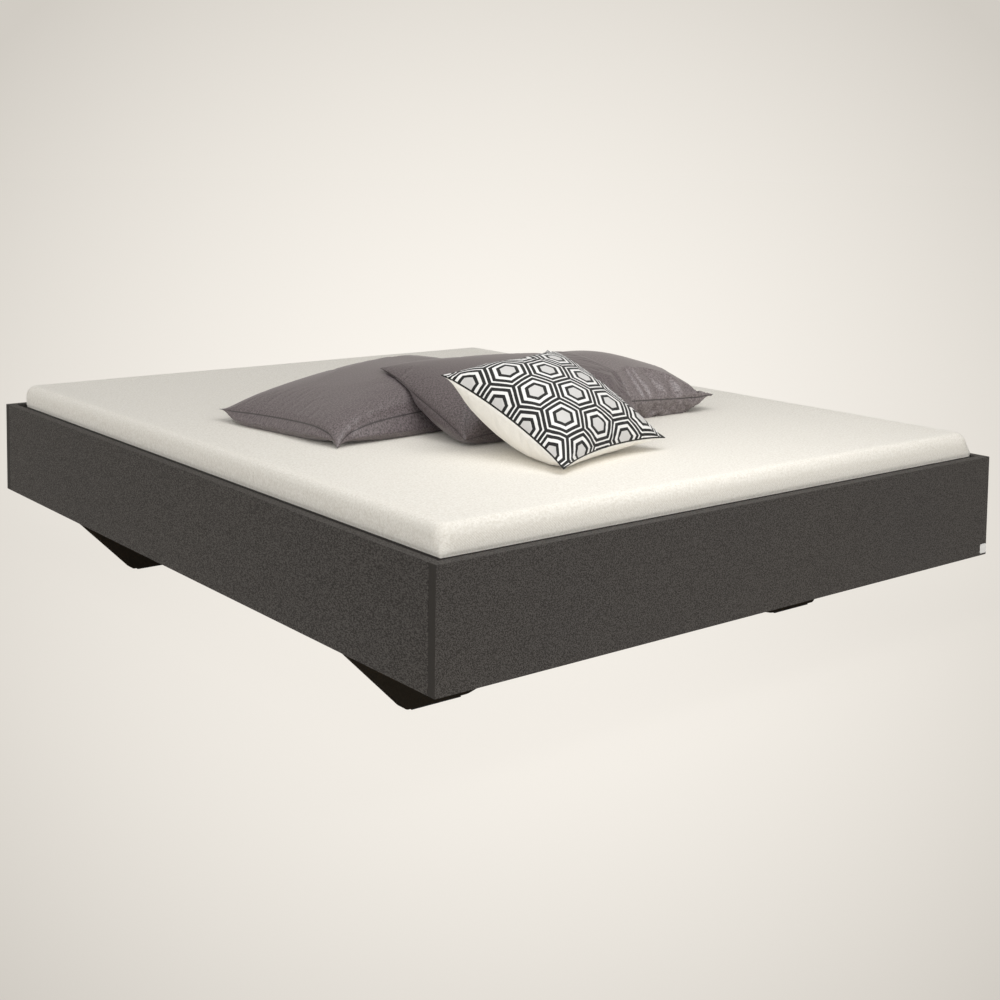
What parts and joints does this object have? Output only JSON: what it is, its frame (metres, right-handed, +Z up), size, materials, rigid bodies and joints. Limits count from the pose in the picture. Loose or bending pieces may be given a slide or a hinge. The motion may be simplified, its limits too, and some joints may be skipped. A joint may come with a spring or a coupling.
{
  "type": "futon bed",
  "caption": "Low double futon bed: a dark panel frame on arched cross boards, a slatted base, a thick futon mattress, pillows and a patterned scatter cushion.",
  "frame": {"origin": "on the floor, under the middle of the bed", "axes": "+Z up, +Y towards the head end, +X to the right of someone who stands at the foot end and looks at the head end"},
  "size_m": [1.65, 2.05, 0.6685],
  "materials": {
    "graphite_board": "matte",
    "black_board": "matte",
    "pine": "matte",
    "webbing": "matte",
    "zinc_plated_steel": "satin",
    "black_plastic": "matte",
    "felt": "matte",
    "mattress_cloth": "matte",
    "taupe_satin": "satin",
    "printed_cotton": "matte"
  },
  "bodies": {
    "frame": {"side_panel_left": "graphite_board", "side_panel_right": "graphite_board", "foot_panel": "graphite_board", "head_panel": "graphite_board", "side_batten_left": "pine", "side_batten_right": "pine", "centre_rail": "pine", "rail_hanger_foot": "zinc_plated_steel", "rail_hanger_head": "zinc_plated_steel", "centre_leg": "pine", "cross_board_front": "black_board", "cross_board_rear": "black_board", "foot_pad_front_left": "felt", "foot_pad_front_right": "felt", "foot_pad_rear_left": "felt", "foot_pad_rear_right": "felt", "corner_bracket_foot_left": "zinc_plated_steel", "corner_bracket_foot_right": "zinc_plated_steel", "corner_bracket_head_left": "zinc_plated_steel", "corner_bracket_head_right": "zinc_plated_steel", "corner_screw_foot_left_a": "zinc_plated_steel", "corner_screw_foot_left_b": "zinc_plated_steel", "corner_screw_foot_right_a": "zinc_plated_steel", "corner_screw_foot_right_b": "zinc_plated_steel", "corner_screw_head_left_a": "zinc_plated_steel", "corner_screw_head_left_b": "zinc_plated_steel", "corner_screw_head_right_a": "zinc_plated_steel", "corner_screw_head_right_b": "zinc_plated_steel", "hanger_screw_foot": "zinc_plated_steel", "hanger_screw_head": "zinc_plated_steel", "board_bolt_front_left": "zinc_plated_steel", "board_bolt_front_right": "zinc_plated_steel", "board_bolt_rear_left": "zinc_plated_steel", "board_bolt_rear_right": "zinc_plated_steel", "leg_bolt": "zinc_plated_steel"},
    "leg_glide": {"centre_leg_glide": "black_plastic"},
    "slat_base": {"slat_01": "pine", "slat_02": "pine", "slat_03": "pine", "slat_04": "pine", "slat_05": "pine", "slat_06": "pine", "slat_07": "pine", "slat_08": "pine", "slat_09": "pine", "slat_10": "pine", "slat_11": "pine", "slat_12": "pine", "slat_13": "pine", "slat_14": "pine", "slat_15": "pine", "slat_16": "pine", "slat_strap_left": "webbing", "slat_strap_right": "webbing"},
    "mattress": {"mattress": "mattress_cloth"},
    "pillow_left": {"pillow_left": "taupe_satin"},
    "pillow_right": {"pillow_right": "taupe_satin"},
    "pillow_middle": {"pillow_middle": "taupe_satin"},
    "scatter_cushion": {"scatter_cushion": "printed_cotton"}
  },
  "joints": [
    {"name": "leg_glide_screw", "type": "slide", "parent": "frame", "child": "leg_glide", "axis": [0, 0, 1], "range_m": [0, 0.012]},
    {"name": "slat_base_lift", "type": "slide", "parent": "frame", "child": "slat_base", "axis": [0, 0, 1], "range_m": [0, 0.2]},
    {"name": "mattress_lift", "type": "slide", "parent": "slat_base", "child": "mattress", "axis": [0, 0, 1], "range_m": [0, 0.25]},
    {"name": "pillow_left_lift", "type": "slide", "parent": "mattress", "child": "pillow_left", "axis": [0, 0, 1], "range_m": [0, 0.25]},
    {"name": "pillow_right_lift", "type": "slide", "parent": "pillow_left", "child": "pillow_right", "axis": [0, 0, 1], "range_m": [0, 0.25]},
    {"name": "pillow_middle_lift", "type": "slide", "parent": "pillow_right", "child": "pillow_middle", "axis": [0, 0, 1], "range_m": [0, 0.25]},
    {"name": "scatter_cushion_lift", "type": "slide", "parent": "pillow_middle", "child": "scatter_cushion", "axis": [0, 0, 1], "range_m": [0, 0.25]}
  ]
}
